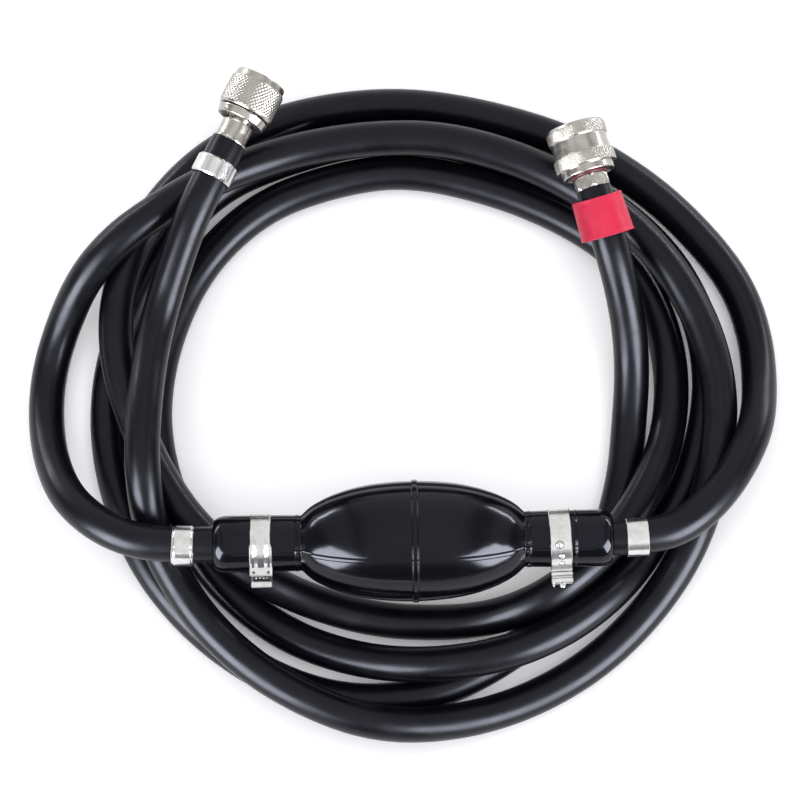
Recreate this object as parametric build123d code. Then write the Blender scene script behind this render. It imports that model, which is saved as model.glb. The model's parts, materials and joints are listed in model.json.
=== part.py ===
"""Siphon bulb pump: a squeeze bulb with two check valves, two long hoses and two end fittings.

The frame has +X along the bulb from its inlet end to its outlet end, +Y across it and +Z up.
The origin is the middle of the bulb.  The hoses lie in a loose coil on a surface at z = -39.8.
"""
from build123d import *
import math
import os

# Driving dimensions, in millimetres.
HOSE_R = 7.0
HOSE_BORE_R = 4.0
BARB_R = 3.95
BARB_ROOT_R = 3.45
BARB_BORE_R = 2.6
BARB_PITCH = 4.5

BULB_R = 22.8
BULB_HALF = 43.3
BULB_NECK_R = 10.3
BULB_SHOULDER = (27.0, 19.5)
BULB_WALL = 3.0
RIB_WIDTH = 1.6
RIB_HEIGHT = 0.7
RIB_HALF_LENGTH = 49.0
RIB_ANGLE = 27.7
GIRTH_RIB_X = 0.8
GIRTH_RIB_WIDTH = 2.3
GIRTH_RIB_HEIGHT = 0.5

COLLAR_R = 11.0
COLLAR_END = 76.5
COLLAR_BORE_R = 8.0
COLLAR_CHAMFER = 2.4

VALVE_TAIL_END = 94.5
VALVE_BODY_START = 47.0
VALVE_CHAMBER_R = 6.0
SEAT_LENGTH = 2.5
SEAT_BORE_R = 3.4
SEAT_GAP = 0.05
POPPET_THICKNESS = 1.8
STEM_REACH = 12.4
GUIDE_REACH = 11.2
GUIDE_THICKNESS = 2.0

COLLAR_BAND_T = 0.7
COLLAR_BAND_WIDTH = 8.5
INLET_BAND_X = -58.4
OUTLET_BAND_X = 56.4
HOSE_BAND_WIDTH = 8.2
INLET_HOSE_BAND_X = -88.5
OUTLET_HOSE_BAND_X = 86.3

FIT = 0.05
RUNNING = 0.3
TAIL_DEPTH = 14.0

# Distances along the inlet fitting, from the hose's end.
SWIVEL_STEM_R = 6.3
SWIVEL_STEM_TOP = 8.2
SWIVEL_NECK_R = 4.8
SWIVEL_FLANGE_TOP = 17.4
FACE_SEAL_T = 1.3
NUT_WEB_TOP = 15.2
NUT_THREAD_R = 7.475
NUT_THREAD_START = 19.6
NUT_MOUTH = 28.2

# Distances along the outlet fitting, from the hose's end.
SPIGOT_R = 6.0
SOCKET_R = 8.4
SOCKET_FLANGE_R = 9.2
SOCKET_MOUTH = 24.8
WEB_START = 12.5
WEB_END = 13.7
PROBE_R = 5.6
LAND_START = 15.0
LAND_END = 20.45
SNAP_START = 20.5
SLEEVE_MOUTH = 26.2
BALL_COUNT = 6
BALL_STEP = 60
BALL_R = 1.5
BALL_Z = 18.4

# The routes of the two hoses, from the bulb to the end fitting.  The heights are those of hoses
# that lie on the floor (-32.8), on one hose (-18.3) or on two (-3.8 and over).
INLET_ROUTE = [
    (-77, 0, 0), (-93, 0, 0), (-108.5, 2.2, 0.3), (-122.5, 9.3, -2.5), (-134.5, 21, -9.8),
    (-141.5, 37, -20.8), (-144.5, 55, -29.3), (-143.5, 74, -31.8), (-137, 93, -25.8),
    (-127, 109, -11.4), (-113.5, 122, -3.2), (-98, 132.5, -1.6), (-81, 143.5, -4.9),
    (-62, 153, -11.3), (-42, 159.5, -13.8), (-17, 163.3, -14.2), (11, 163.5, -14.2),
    (39, 157, -16.5), (65, 144.5, -18.3), (89, 127, -18.3), (107.5, 105, -18.3), (119, 79, -18.3),
    (122.5, 52, -18.8), (118, 24, -20.8), (108.5, -2.2, -24.8), (92.4, -25.3, -31.3),
    (70, -46, -32.8), (42, -61, -32.8), (13, -68.5, -26.8), (-14, -69, -19.3), (-38, -61, -18.3),
    (-62, -47, -18.3), (-82, -28, -18.3), (-94, -9, -17.3), (-100.5, 5, -14.7),
    (-103.5, 19, -5.4), (-104.5, 36, -0.5), (-103.5, 56, -2.7), (-101.5, 76, -8.1),
    (-97, 95, -8.1), (-90, 113.5, 1), (-83.5, 128.5, 8), (-76.5, 142, 10.5), (-69, 156.5, 10.5),
]
OUTLET_ROUTE = [
    (77, 0, 0), (92, 0, 0), (106, 5, -1.1), (118.5, 16, -3.2), (129, 31, -7.6),
    (136, 47, -14.9), (138.5, 66, -26.8), (137.5, 86, -32.8), (131, 106, -32.8),
    (117, 127, -32.8), (97, 147, -32.8), (69, 164, -32.8), (36, 175.5, -32.8), (2, 182, -32.8),
    (-30, 180.3, -32.3), (-59, 171.3, -25.8), (-84, 154.5, -18.3), (-104, 131, -18.3),
    (-115, 105, -18.3), (-116, 79, -18.3), (-109, 53, -18.3), (-99.5, 30, -18.3),
    (-84.5, 8, -18.5), (-64, -8.5, -21.3), (-40, -19.5, -31.8), (-14, -27.5, -32.8),
    (12, -29, -32.8), (31, -27, -28.8), (47, -22.5, -19.5), (60.7, -14.4, -16.4), (73, -4, -18.3),
    (83.5, 8, -18.9), (94, 25, -20.8), (102.3, 45.5, -30.3), (104.5, 71, -32.8),
    (99.5, 94.5, -32.8), (87, 115, -32.8), (65, 131.5, -32.8), (35, 145, -32.8), (0, 154, -32.8),
    (-30, 151, -32.8), (-59, 140.5, -32.8), (-83, 118, -32.8), (-97, 89, -32.8),
    (-102.5, 60, -32.8), (-99.5, 34, -32.8), (-90, 10, -32.8), (-74, -13.5, -32.8),
    (-50.5, -32.5, -32.8), (-22, -43, -29.8), (6, -46.2, -21.3), (34, -43, -17.3),
    (58.2, -33.3, -19.6), (77.8, -18.8, -23.4), (93, -0.5, -32.8), (107.5, 21.5, -32.8),
    (117, 45.5, -32.8), (120, 72, -32.8), (114.5, 98, -32.8), (100.5, 121.5, -32.8),
    (77, 142, -32.8), (46, 157, -31.3), (12, 167, -28.5), (-20, 167.1, -28.5),
    (-50, 159.5, -30.8), (-74, 150, -32.8), (-92, 133, -32.8), (-107, 108, -32.8),
    (-118, 80, -32.8), (-121, 52, -32.8), (-116.5, 24, -32.8), (-105, -4, -32.8),
    (-85.5, -28.5, -32.8), (-60, -47.5, -32.8), (-31, -58.5, -32.8), (0, -58.5, -32.8),
    (29, -46.5, -32.8), (55, -28, -32.8), (75.5, -2, -32.8), (84, 27, -32.8), (86.5, 49, -32.2),
    (88, 67, -27.5), (87.3, 83, -20.3), (84.3, 98.5, -10), (79.8, 114, -1), (76.4, 125.8, 1.2),
    (73.2, 137.3, 1.5),
]
# Each hose is cut into spans in the middle of these runs, so that every span is a short arc.
INLET_CUTS = [0, 15, 29, 43]
OUTLET_CUTS = [0, 13, 26, 40, 54, 68, 86]


# ---------------------------------------------------------------- helpers

def turned(points):
    """A solid of revolution about Z from (radius, height) points."""
    outline = Plane.XZ * make_face(Polyline(*points, close=True))
    return revolve(outline, Axis.Z)


def disc(radius, low, high, bore=0.0):
    """A cylinder about Z from low to high, with an optional bore."""
    solid = Pos(0, 0, low) * Cylinder(radius, high - low, align=(Align.CENTER, Align.CENTER, Align.MIN))
    if bore:
        solid -= Pos(0, 0, low - 1) * Cylinder(
            bore, high - low + 2, align=(Align.CENTER, Align.CENTER, Align.MIN))
    return solid


def barb_outline(start, length):
    """Half outline of a barbed tail that points towards -Z from start."""
    points = []
    count = int(length // BARB_PITCH)
    for i in range(count):
        top = start - i * BARB_PITCH
        points += [(BARB_ROOT_R, top), (BARB_ROOT_R, top - 1.2), (BARB_R, top - 1.3)]
    points += [(BARB_ROOT_R, start - count * BARB_PITCH), (BARB_ROOT_R - 0.3, start - length)]
    return points


def coil_spring(radius, wire, low, high, turns):
    """A round-wire compression spring about Z between two heights."""
    height = high - low - 2 * wire
    path = Helix(pitch=height / turns, height=height, radius=radius)
    section = Plane(origin=path @ 0, z_dir=path % 0) * Circle(wire)
    return Pos(0, 0, low + wire) * sweep(section, path=path, is_frenet=True)


def axis_frame(points):
    """The frame whose origin is a route's end and whose Z runs on along its last run."""
    last = Vector(*points[-1])
    run = last - Vector(*points[-2])
    return Plane(origin=last, x_dir=Vector(0, 0, 1).cross(run), z_dir=run)


def write(name, *solids):
    """One STEP file per node; a node of several pieces is a group of separate solids."""
    shape = solids[0] if len(solids) == 1 else Compound(children=list(solids))
    export_step(shape, os.path.join("parts", name + ".step"))


# ---------------------------------------------------------------- the bulb

def bulb_skin(extra=0.0):
    """The bulb and its collars as a solid of revolution about X, grown outward by extra."""
    shoulder_x, shoulder_r = BULB_SHOULDER
    neck = BULB_NECK_R + extra
    dome = Spline(
        (-BULB_HALF, neck), (-shoulder_x, shoulder_r + extra), (0, BULB_R + extra),
        (shoulder_x, shoulder_r + extra), (BULB_HALF, neck),
        tangents=[(1, 1.15), (1, -1.15)])
    collar = COLLAR_R + extra
    end = COLLAR_END
    tip = collar - COLLAR_CHAMFER
    right = Polyline(
        (BULB_HALF, neck), (BULB_HALF + 7, collar), (end - COLLAR_CHAMFER, collar), (end, tip), (end, 0))
    left = Polyline(
        (-end, 0), (-end, tip), (COLLAR_CHAMFER - end, collar), (-BULB_HALF - 7, collar), (-BULB_HALF, neck))
    base = Line((end, 0), (-end, 0))
    return revolve(make_face(Curve() + [dome, right, base, left]), Axis.X)


def bulb_hollow():
    """The air space of the bulb and the bores of its two collars."""
    shoulder_x, shoulder_r = BULB_SHOULDER
    mouth = COLLAR_BORE_R - 1.5
    dome = Spline(
        (-BULB_HALF, mouth), (-shoulder_x + 1, shoulder_r - BULB_WALL), (0, BULB_R - BULB_WALL),
        (shoulder_x - 1, shoulder_r - BULB_WALL), (BULB_HALF, mouth),
        tangents=[(1, 1.2), (1, -1.2)])
    sides = Polyline((BULB_HALF, mouth), (BULB_HALF, 0), (-BULB_HALF, 0), (-BULB_HALF, mouth))
    hollow = revolve(make_face(Curve() + [dome, sides]), Axis.X)
    throat = 2 * VALVE_BODY_START
    hollow += Rot(0, 90, 0) * Cylinder(mouth, throat)
    for side in (1, -1):
        bore = disc(COLLAR_BORE_R, VALVE_BODY_START, COLLAR_END + 1)
        hollow += Rot(0, 90 * side, 0) * bore
    return hollow


def squeeze_bulb():
    """The moulded rubber bulb with four long ribs, one girth rib and a collar at each end."""
    body = bulb_skin()
    ribs = bulb_skin(RIB_HEIGHT)
    for turn in (0, 90):
        plate = Rot(RIB_ANGLE + turn, 0, 0) * Box(2 * RIB_HALF_LENGTH, 4 * BULB_R, RIB_WIDTH)
        body += ribs & plate
    girth = disc(BULB_R + GIRTH_RIB_HEIGHT, GIRTH_RIB_X - GIRTH_RIB_WIDTH / 2,
                 GIRTH_RIB_X + GIRTH_RIB_WIDTH / 2)
    body += Rot(0, 90, 0) * girth
    groove = disc(COLLAR_R + 2, 61.6, 62.6, bore=COLLAR_R - 0.5)
    body -= Rot(0, 90, 0) * groove
    return (body - bulb_hollow()).solid()


# ---------------------------------------------------------------- check valves

def valve_housing():
    """The turned housing in a collar, about Z, with its barbed tail towards +Z."""
    body = disc(COLLAR_BORE_R - FIT, VALVE_BODY_START, COLLAR_END)
    outline = [(r, -z) for r, z in barb_outline(-COLLAR_END - 0.5, VALVE_TAIL_END - COLLAR_END - 0.5)]
    tail = turned([(0, COLLAR_END), (BARB_ROOT_R, COLLAR_END)] + outline + [(0, VALVE_TAIL_END)])
    body += tail
    body -= disc(BARB_BORE_R, VALVE_BODY_START - 1, VALVE_TAIL_END + 1)
    body -= disc(VALVE_CHAMBER_R, VALVE_BODY_START - 1, 71)
    for low in (51, 56, 61, 66):
        body -= disc(COLLAR_BORE_R + 1, low, low + 1.6, bore=COLLAR_BORE_R - 0.6)
    return body


def valve_seat(face, towards):
    """The seat ring, whose sealing face looks the way that the poppet opens."""
    low, high = sorted((face, face - SEAT_LENGTH * towards))
    return disc(VALVE_CHAMBER_R - FIT, low, high, bore=SEAT_BORE_R)


def valve_poppet(face, towards):
    """A disc that closes on the seat face, with a guide stem that points away from the seat."""
    back = face + POPPET_THICKNESS * towards
    head_low, head_high = sorted((face + SEAT_GAP * towards, back))
    boss_low, boss_high = sorted((back, back + 1.4 * towards))
    stem_low, stem_high = sorted((back, face + STEM_REACH * towards))
    head = disc(4.7, head_low, head_high)
    return head + disc(2.2, boss_low, boss_high) + disc(1.2, stem_low, stem_high)


def spring_guide(low):
    """The spider that guides the stem and holds the spring, with three flow ports."""
    spider = disc(VALVE_CHAMBER_R - FIT, low, low + GUIDE_THICKNESS, bore=1.2 + RUNNING)
    for i in range(3):
        spider -= Rot(0, 0, 120 * i) * Pos(3.9, 0, 0) * disc(1.4, low - 1, low + 3)
    return spider


def check_valve(side):
    """All the pieces of one check valve; side is -1 at the inlet and 1 at the outlet.

    Both valves open towards +X, so the inlet valve's seat is at its outer end and the outlet
    valve's seat is at the bulb's end.
    """
    name = "inlet" if side < 0 else "outlet"
    face = 68.5 if side < 0 else 49.8
    turn = Rot(0, 90 * side, 0)
    guide_low = face + GUIDE_REACH if side > 0 else face - GUIDE_REACH - GUIDE_THICKNESS
    spring_low, spring_high = sorted((face + POPPET_THICKNESS * side, face + GUIDE_REACH * side))
    write(name + "_valve_housing", turn * valve_housing())
    write(name + "_valve_seat", turn * valve_seat(face, side))
    write(name + "_valve_poppet", turn * valve_poppet(face, side))
    write(name + "_spring_guide", turn * spring_guide(guide_low))
    write(name + "_valve_spring", turn * coil_spring(3.0, 0.28, spring_low, spring_high, 5))


# ---------------------------------------------------------------- bands

def collar_band(radius, width):
    """A stainless band about Z: one wrap, and a second wrap over a quarter turn."""
    outer = radius + COLLAR_BAND_T
    band = disc(outer, -width / 2, width / 2, bore=radius)
    over = disc(outer + COLLAR_BAND_T, -width / 2 + 0.3, width / 2 - 0.3, bore=outer)
    wedge = make_face(Polyline((0, 0), (0, -40), (-40, -40), (-40, 8), close=True))
    return band + (over & (Pos(0, 0, -20) * extrude(wedge, 40)))


def band_ear(radius, width, reach):
    """The closing ear at the band's end: a raised loop with a slot and a turned-up lip."""
    base = radius + 2 * COLLAR_BAND_T + 0.02
    loop = Pos(-base - reach / 2, 0, 0) * Box(reach, 3.4, width)
    slot = Pos(-base - reach * 0.42, 0, 0) * Box(reach * 0.36, 6, width - 2.2)
    saddle = disc(base + 0.9, -width / 2, width / 2, bore=base)
    wedge = make_face(Polyline((0, 0), (-40, 16), (-40, -16), close=True))
    return (saddle & (Pos(0, 0, -20) * extrude(wedge, 40))) + loop - slot


def hose_band(radius, width, wrap):
    """A double-wrapped hose band about Z whose outer wrap ends in a step."""
    inner = disc(radius + wrap, -width / 2, width / 2, bore=radius)
    outer = disc(radius + 2 * wrap, -width / 2 + 0.1, width / 2 - 0.1, bore=radius + wrap)
    gap = make_face(Polyline((0, 0), (-20, 4), (-20, -14), close=True))
    return inner + (outer - Pos(0, 0, -20) * extrude(gap, 40))


def bands():
    """The collar bands with their ears, and the two small bands over the hose ends at the bulb."""
    for name, centre, reach in (("inlet", INLET_BAND_X, 4.6), ("outlet", OUTLET_BAND_X, 7.2)):
        seat = Plane(origin=(centre, 0, 0), x_dir=(0, 1, 0), z_dir=(1, 0, 0))
        write(name + "_collar_band", seat * collar_band(COLLAR_R + 0.02, COLLAR_BAND_WIDTH))
        write(name + "_collar_band_ear", seat * band_ear(COLLAR_R, COLLAR_BAND_WIDTH - 0.6, reach))
    for name, centre, wrap in (("inlet", INLET_HOSE_BAND_X, 0.8), ("outlet", OUTLET_HOSE_BAND_X, 0.5)):
        seat = Plane(origin=(centre, 0, 0), x_dir=(0, 1, 0), z_dir=(1, 0, 0))
        write(name + "_hose_band", seat * hose_band(HOSE_R + 0.02, HOSE_BAND_WIDTH, wrap))


# ---------------------------------------------------------------- hoses

def route_radii(points):
    """The tangent-arc radius at each corner: 0.45 of the shorter run over tan of half the turn."""
    radii = []
    for before, here, after in zip(points, points[1:], points[2:]):
        back = Vector(*here) - Vector(*before)
        ahead = Vector(*after) - Vector(*here)
        half = math.radians(back.get_angle(ahead)) / 2
        radii.append(0.45 * min(back.length, ahead.length) / math.tan(half))
    return radii


def span_points(points, cuts, index):
    """The corners of one span, which starts and ends half way along the runs it is cut in."""
    first, last = cuts[index], cuts[index + 1]
    corners = [Vector(*p) for p in points[first + 1:last + 1]]
    start = Vector(*points[0]) if first == 0 else middle_of_run(points, first)
    if last == len(points) - 1:
        return [start] + corners
    return [start] + corners + [middle_of_run(points, last)]


def middle_of_run(points, index):
    """The middle of the run that starts at a corner."""
    return (Vector(*points[index]) + Vector(*points[index + 1])) * 0.5


def hose_span(corners, radii):
    """One span of hose, hollow, along straight runs joined by tangent arcs."""
    path = FilletPolyline(*corners, radius=radii)
    frame = Plane(origin=path @ 0, z_dir=path % 0)
    outer = sweep(frame * Circle(HOSE_R), path=path)
    bore = sweep(frame * Circle(HOSE_BORE_R), path=path)
    span = outer - bore
    expected = math.pi * (HOSE_R ** 2 - HOSE_BORE_R ** 2) * path.length
    print(f"  span length {path.length:7.1f}  volume / (section x length) {span.volume / expected:.4f}")
    return span, path.length


def hose(name, points, cuts):
    """All the spans of one hose."""
    radii = route_radii(points)
    print(name, "tightest radii", [round(r) for r in sorted(radii)[:6]])
    total = 0.0
    for index in range(len(cuts) - 1):
        corners = span_points(points, cuts, index)
        inner = radii[cuts[index]:cuts[index] + len(corners) - 2]
        span, length = hose_span(corners, inner)
        total += length
        write(f"{name}_hose_{index + 1}", span)
    print(name, "hose length", round(total), "mm")


# ---------------------------------------------------------------- inlet end: threaded swivel

def swivel_tail():
    """Barbed stem, shoulder, neck and the sealing flange inside the nut."""
    body = turned([(0, 0)] + barb_outline(0, TAIL_DEPTH) + [(0, -TAIL_DEPTH)])
    body += disc(SWIVEL_STEM_R, 0, SWIVEL_STEM_TOP)
    body += disc(SWIVEL_NECK_R, SWIVEL_STEM_TOP, 16)
    body += disc(7.0, NUT_WEB_TOP + 0.3, SWIVEL_FLANGE_TOP)
    return body - disc(BARB_BORE_R, -TAIL_DEPTH - 1, 18)


def swivel_thrust_ring():
    """The plain ring behind the nut, wider towards the nut and pressed on the neck."""
    bore = SWIVEL_NECK_R + FIT
    return turned([(bore, 9.3), (9.4, 9.3), (9.7, 9.6), (10.2, 12.4), (9.9, 12.7), (bore, 12.7)])


def swivel_nut():
    """The hand nut: the gripping band, a plain end ring and the thread's bore."""
    body = turned([
        (0, 13.2), (10.5, 13.2), (10.8, 13.5), (11.1, 14.2), (11.1, 25.0), (10.5, 25.3),
        (10.2, NUT_MOUTH - 0.6), (9.7, NUT_MOUTH), (0, NUT_MOUTH)])
    body -= disc(SWIVEL_NECK_R + RUNNING, 12, 16)
    body -= disc(NUT_THREAD_R + 0.5, NUT_WEB_TOP, NUT_THREAD_START)
    return body - disc(NUT_THREAD_R, NUT_THREAD_START, NUT_MOUTH + 1)


def inlet_end(frame):
    """The threaded swivel fitting on the inlet hose."""
    write("swivel_tail", frame * swivel_tail())
    write("swivel_thrust_ring", frame * swivel_thrust_ring())
    write("swivel_nut", frame * swivel_nut())
    seal = disc(6.9, SWIVEL_FLANGE_TOP, SWIVEL_FLANGE_TOP + FACE_SEAL_T, bore=3.2)
    write("swivel_face_seal", frame * seal)
    seat = frame * Pos(0, 0, -12.4)
    write("inlet_end_band", seat * hose_band(HOSE_R + 0.02, 7.7, 0.8))


# ---------------------------------------------------------------- outlet end: quick coupler

def coupler_tail():
    """Barbed stem, hexagon and the spigot that carries the coupler's socket."""
    body = turned([(0, 0)] + barb_outline(0, TAIL_DEPTH) + [(0, -TAIL_DEPTH)])
    body += extrude(RegularPolygon(7.4, 6), 5.4)
    body += disc(SPIGOT_R, 5.4, 8.0)
    body -= disc(BARB_BORE_R, -TAIL_DEPTH - 1, 9)
    return body - disc(4.0, 3.0, 9)


def coupler_socket():
    """The socket body: rear flange, valve seat web, ball holes and the probe's bore."""
    body = disc(SOCKET_FLANGE_R, 6.6, 8.4) + disc(SOCKET_R, 8.4, SOCKET_MOUTH)
    body -= disc(SPIGOT_R + FIT, 6, 8.05)
    body -= disc(4.7, 7, WEB_START)
    body -= disc(3.0, 12, 14)
    body -= disc(PROBE_R, WEB_END, SOCKET_MOUTH + 1)
    body -= disc(PROBE_R + 1.6, 14.6, 16.2)
    body -= disc(SOCKET_R + 1, SNAP_START, SNAP_START + 0.9, bore=SOCKET_R - 0.8)
    for i in range(BALL_COUNT):
        body -= Rot(0, 0, i * BALL_STEP) * Pos(0, 0, BALL_Z) * Rot(0, 90, 0) * disc(BALL_R + FIT, 5, 10)
    return body


def coupler_sleeve():
    """The pull-back sleeve: rear skirt, two gripping bands and the waist between them."""
    body = turned([
        (0, 6.1), (10.4, 6.1), (10.4, 9.0), (11.9, 9.0), (12.2, 9.3), (12.2, 13.9), (11.9, 14.2),
        (11.2, 14.2), (11.2, 20.6), (11.6, 20.6), (11.9, 20.9), (11.9, 24.8), (11.2, SLEEVE_MOUTH),
        (0, SLEEVE_MOUTH)])
    body -= disc(SOCKET_FLANGE_R + RUNNING, 5, LAND_START)
    body -= disc(SOCKET_R + RUNNING, 14, SLEEVE_MOUTH + 1)
    return body - disc(SOCKET_R + RUNNING + 1, LAND_END, SLEEVE_MOUTH + 1)


def coupler_valve():
    """The coupler's shut-off poppet with its short push nose and its spring guide."""
    head = disc(4.0, WEB_START - 1.45, WEB_START - SEAT_GAP)
    nose = disc(2.0, WEB_START - SEAT_GAP, WEB_END - 0.1)
    guide = disc(1.6, WEB_START - 2.8, WEB_START - 1.45)
    return head + nose + guide


def outlet_end(frame):
    """The sleeve-type quick coupler on the outlet hose."""
    write("coupler_tail", frame * coupler_tail())
    write("coupler_socket", frame * coupler_socket())
    write("coupler_sleeve", frame * coupler_sleeve())
    write("coupler_valve", frame * coupler_valve())
    write("coupler_valve_spring", frame * coil_spring(3.0, 0.3, 3.0, WEB_START - 1.5, 5))
    write("coupler_sleeve_spring", frame * coil_spring(SOCKET_R + 0.4, 0.3, 8.4, LAND_START, 4))
    write("coupler_o_ring", frame * Pos(0, 0, 6.0) * Torus(SPIGOT_R + 0.62, 0.55))
    write("coupler_probe_seal", frame * Pos(0, 0, 15.4) * Torus(PROBE_R + 0.8, 0.75))
    gap = Pos(SOCKET_R, 0, SNAP_START) * Box(4, 2.4, 4)
    snap_ring = disc(SOCKET_R + 0.7, SNAP_START + 0.05, SNAP_START + 0.85, bore=SOCKET_R - 0.75) - gap
    write("coupler_snap_ring", frame * snap_ring)
    balls = []
    for i in range(BALL_COUNT):
        balls.append(frame * Rot(0, 0, i * BALL_STEP) * Pos(PROBE_R + BALL_R + 0.05, 0, BALL_Z) * Sphere(BALL_R))
    write("coupler_balls", *balls)
    seat = frame * Pos(0, 0, -11)
    write("outlet_end_band", seat * hose_band(HOSE_R + 0.02, 8.0, 0.5))
    grip = turned([
        (8.3, -19.2), (10.4, -19.2), (10.1, -3.2), (7.3, -3.2), (7.3, -4.6), (8.3, -5.2)])
    write("red_sleeve", frame * grip)


def main():
    """Write every sub-part to its own file."""
    os.makedirs("parts", exist_ok=True)
    write("squeeze_bulb", squeeze_bulb())
    for side in (-1, 1):
        check_valve(side)
    bands()
    hose("inlet", INLET_ROUTE, INLET_CUTS)
    hose("outlet", OUTLET_ROUTE, OUTLET_CUTS)
    inlet_end(axis_frame(INLET_ROUTE))
    outlet_end(axis_frame(OUTLET_ROUTE))


main()
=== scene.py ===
import json
import math

import bpy
import numpy as np
from mathutils import Matrix, Vector

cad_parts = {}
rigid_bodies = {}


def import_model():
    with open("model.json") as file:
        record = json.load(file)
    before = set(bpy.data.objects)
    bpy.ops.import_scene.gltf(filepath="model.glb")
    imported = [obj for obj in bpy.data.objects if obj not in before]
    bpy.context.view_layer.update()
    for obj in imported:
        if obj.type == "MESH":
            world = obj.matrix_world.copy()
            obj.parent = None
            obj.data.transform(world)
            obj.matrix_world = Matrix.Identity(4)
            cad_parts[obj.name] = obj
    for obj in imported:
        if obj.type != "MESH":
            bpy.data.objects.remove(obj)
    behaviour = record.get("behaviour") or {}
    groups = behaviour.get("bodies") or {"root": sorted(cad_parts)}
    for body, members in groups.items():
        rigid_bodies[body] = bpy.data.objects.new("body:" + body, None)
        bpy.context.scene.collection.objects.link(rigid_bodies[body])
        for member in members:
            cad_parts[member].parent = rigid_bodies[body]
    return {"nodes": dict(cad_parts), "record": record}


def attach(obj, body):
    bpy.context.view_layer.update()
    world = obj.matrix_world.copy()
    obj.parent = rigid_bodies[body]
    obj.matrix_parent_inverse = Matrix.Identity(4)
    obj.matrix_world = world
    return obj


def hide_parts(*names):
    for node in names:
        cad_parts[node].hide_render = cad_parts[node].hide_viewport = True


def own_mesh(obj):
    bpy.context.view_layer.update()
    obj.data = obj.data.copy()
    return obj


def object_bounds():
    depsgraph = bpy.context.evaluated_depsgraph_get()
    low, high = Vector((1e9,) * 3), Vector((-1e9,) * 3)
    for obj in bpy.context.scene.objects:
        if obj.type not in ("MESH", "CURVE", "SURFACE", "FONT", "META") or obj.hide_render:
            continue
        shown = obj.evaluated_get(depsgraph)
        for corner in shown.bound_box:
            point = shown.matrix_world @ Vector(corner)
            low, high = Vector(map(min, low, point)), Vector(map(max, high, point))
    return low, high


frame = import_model()
cad_low, cad_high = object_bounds()

MM = 0.001
PUMP = "pump"
HOSE_D = 0.014
FLOOR_Z = cad_low.z

# The hoses' routes from the bulb to their end fittings, in metres.
INLET_ROUTE = [
    (-0.077, 0, 0), (-0.093, 0, 0), (-0.1085, 0.0022, 0.0003), (-0.1225, 0.0093, -0.0025),
    (-0.1345, 0.021, -0.0098), (-0.1415, 0.037, -0.0208), (-0.1445, 0.055, -0.0293),
    (-0.1435, 0.074, -0.0318), (-0.137, 0.093, -0.0258), (-0.127, 0.109, -0.0114),
    (-0.1135, 0.122, -0.0032), (-0.098, 0.1325, -0.0016), (-0.081, 0.1435, -0.0049),
    (-0.062, 0.153, -0.0113), (-0.042, 0.1595, -0.0138), (-0.017, 0.1633, -0.0142),
    (0.011, 0.1635, -0.0142), (0.039, 0.157, -0.0165), (0.0653, 0.1451, -0.0183),
    (0.0895, 0.1275, -0.0183), (0.1075, 0.105, -0.0183), (0.119, 0.079, -0.0183),
    (0.1225, 0.052, -0.0188), (0.118, 0.024, -0.0208), (0.1085, -0.0022, -0.0248),
    (0.0924, -0.0253, -0.0313), (0.07, -0.046, -0.0328), (0.042, -0.061, -0.0328),
    (0.013, -0.0685, -0.0268), (-0.014, -0.069, -0.0193), (-0.038, -0.061, -0.0183),
    (-0.062, -0.047, -0.0183), (-0.082, -0.028, -0.0183), (-0.094, -0.009, -0.0173),
    (-0.1005, 0.005, -0.0147), (-0.1035, 0.019, -0.0054), (-0.1045, 0.036, -0.0005),
    (-0.1035, 0.056, -0.0027), (-0.1015, 0.076, -0.0081), (-0.097, 0.095, -0.0081),
    (-0.09, 0.1135, 0.001), (-0.0835, 0.1285, 0.008), (-0.0765, 0.142, 0.0105),
    (-0.069, 0.1565, 0.0105),
]
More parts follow.
